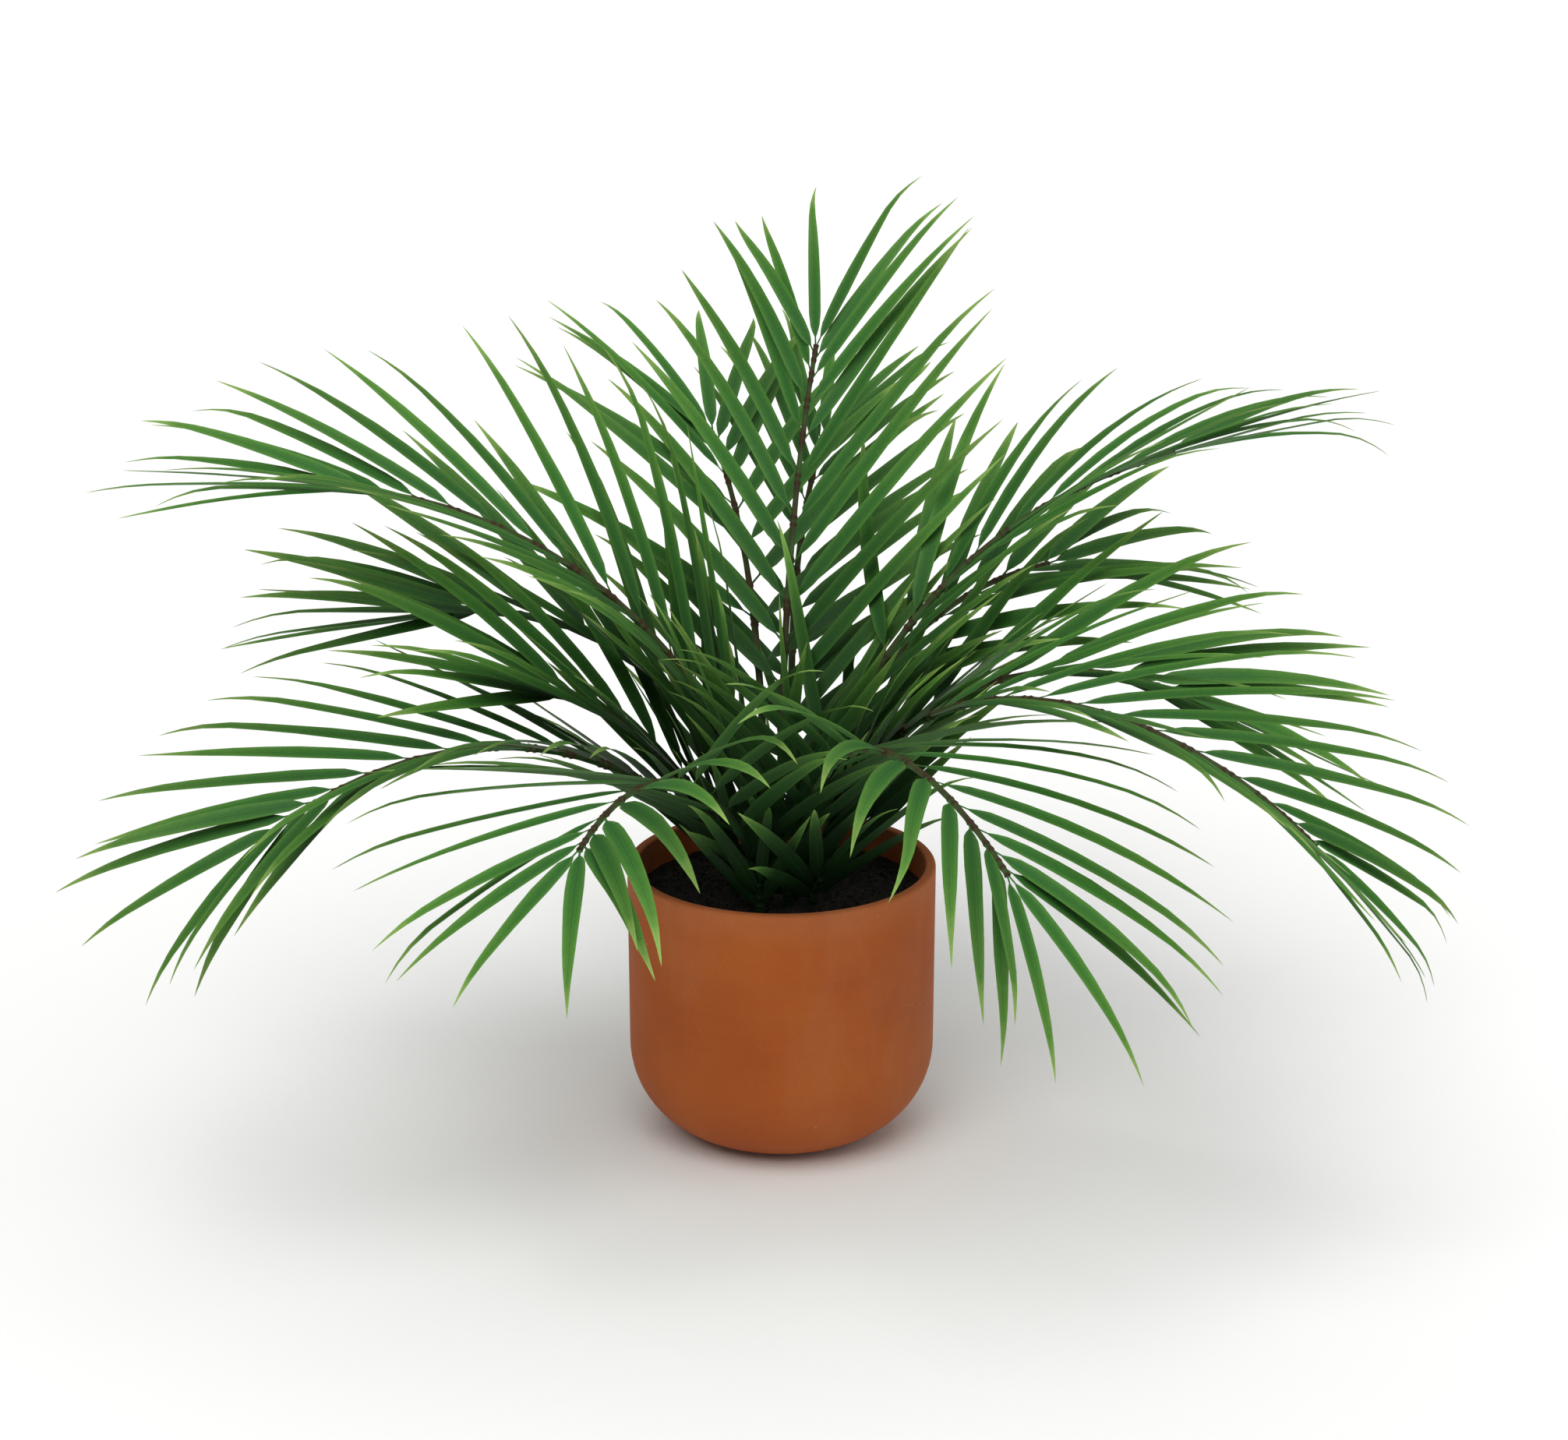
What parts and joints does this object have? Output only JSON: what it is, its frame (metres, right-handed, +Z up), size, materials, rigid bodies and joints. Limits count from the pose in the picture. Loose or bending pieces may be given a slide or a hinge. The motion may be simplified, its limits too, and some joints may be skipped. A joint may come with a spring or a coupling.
{
  "type": "potted areca palm",
  "caption": "Potted areca palm: feathery fronds of narrow green leaflets arching out of dark soil in a plain terracotta pot with a rounded bottom edge.",
  "frame": {"origin": "centre of the flat face under the pot, on the pot's axis", "axes": "+Z up along the pot's axis, -Y towards the front, +X to the right as seen from the front"},
  "size_m": [0.6247, 0.6061, 0.4493],
  "materials": {
    "terracotta": "matte",
    "potting_soil": "matte",
    "palm_leaf": "satin"
  },
  "bodies": {
    "root": {"pot": "terracotta", "soil": "potting_soil", "frond_crown": "palm_leaf", "frond_left_high": "palm_leaf", "frond_right_high": "palm_leaf", "frond_front_right": "palm_leaf", "frond_front_left": "palm_leaf", "frond_left_low": "palm_leaf", "frond_right_low": "palm_leaf", "frond_right_mid": "palm_leaf", "frond_left_mid": "palm_leaf", "frond_left_inner": "palm_leaf", "frond_right_back": "palm_leaf", "frond_back_left": "palm_leaf", "frond_back_right": "palm_leaf", "shoot_front": "palm_leaf", "shoot_left": "palm_leaf", "shoot_right": "palm_leaf", "shoot_outer_left": "palm_leaf", "shoot_outer_right": "palm_leaf", "shoot_heart": "palm_leaf"}
  },
  "joints": []
}
